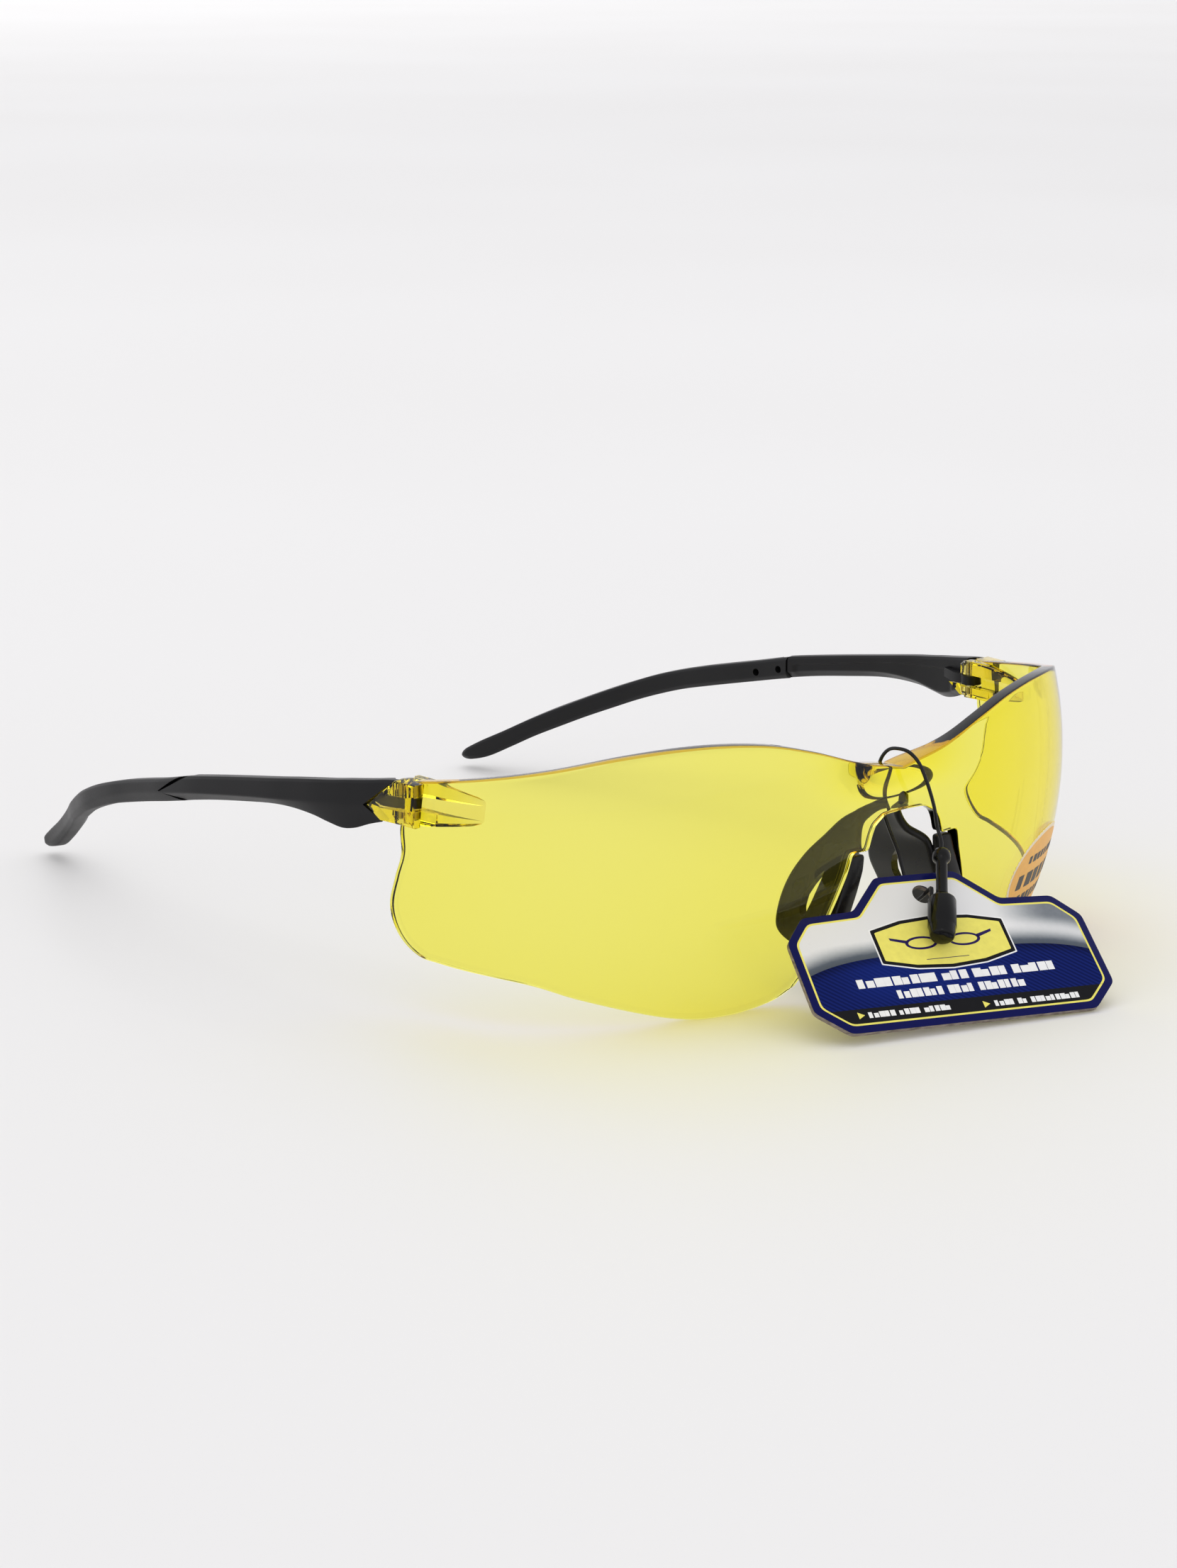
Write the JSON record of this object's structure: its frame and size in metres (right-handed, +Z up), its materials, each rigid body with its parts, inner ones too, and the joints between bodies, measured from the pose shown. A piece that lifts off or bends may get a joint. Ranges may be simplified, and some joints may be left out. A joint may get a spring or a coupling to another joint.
{
  "type": "safety glasses",
  "caption": "Wrap-around safety glasses: one yellow shield lens, black folding temples with slanted tips, soft nose pads, and a card hang tag on a snap loop.",
  "frame": {"origin": "under the middle of the glasses without their tag, on the surface that the lens and the temple tips rest on", "axes": "+Y from the lens back towards the temple tips, +X to the wearer's left, +Z up"},
  "size_m": [0.1464, 0.1939, 0.0451],
  "materials": {
    "lens": "clear yellow polycarbonate, polished",
    "temple": "fine-grained black nylon",
    "tip": "soft-touch black nylon",
    "pad": "soft black elastomer, slightly glossy",
    "pin": "drawn pin",
    "sticker": "coated label paper",
    "card": "printed, gloss-coated card",
    "loop": "black moulded nylon"
  },
  "bodies": {
    "front": {"lens": "lens", "left_nose_pad": "pad", "right_nose_pad": "pad", "left_hinge_pin": "pin", "right_hinge_pin": "pin", "lens_sticker": "sticker"},
    "left_temple": {"left_temple_arm": "temple", "left_temple_tip": "tip"},
    "right_temple": {"right_temple_arm": "temple", "right_temple_tip": "tip"},
    "tag": {"hang_tag": "card", "lock_barrel": "loop", "lock_pin": "loop", "tag_loop": "loop"}
  },
  "joints": [
    {"name": "left_temple_fold", "type": "hinge", "parent": "front", "child": "left_temple", "pos_m": [0.0665, -0.03767, 0.035], "axis": [0, 0, 1], "range_deg": [0, 90]},
    {"name": "right_temple_fold", "type": "hinge", "parent": "front", "child": "right_temple", "pos_m": [-0.0665, -0.03767, 0.035], "axis": [0, 0, -1], "range_deg": [0, 84]},
    {"name": "tag_swing", "type": "hinge", "parent": "front", "child": "tag", "pos_m": [0, -0.07976, 0.0386], "axis": [-1, 0, 0], "range_deg": [0, 8]}
  ]
}
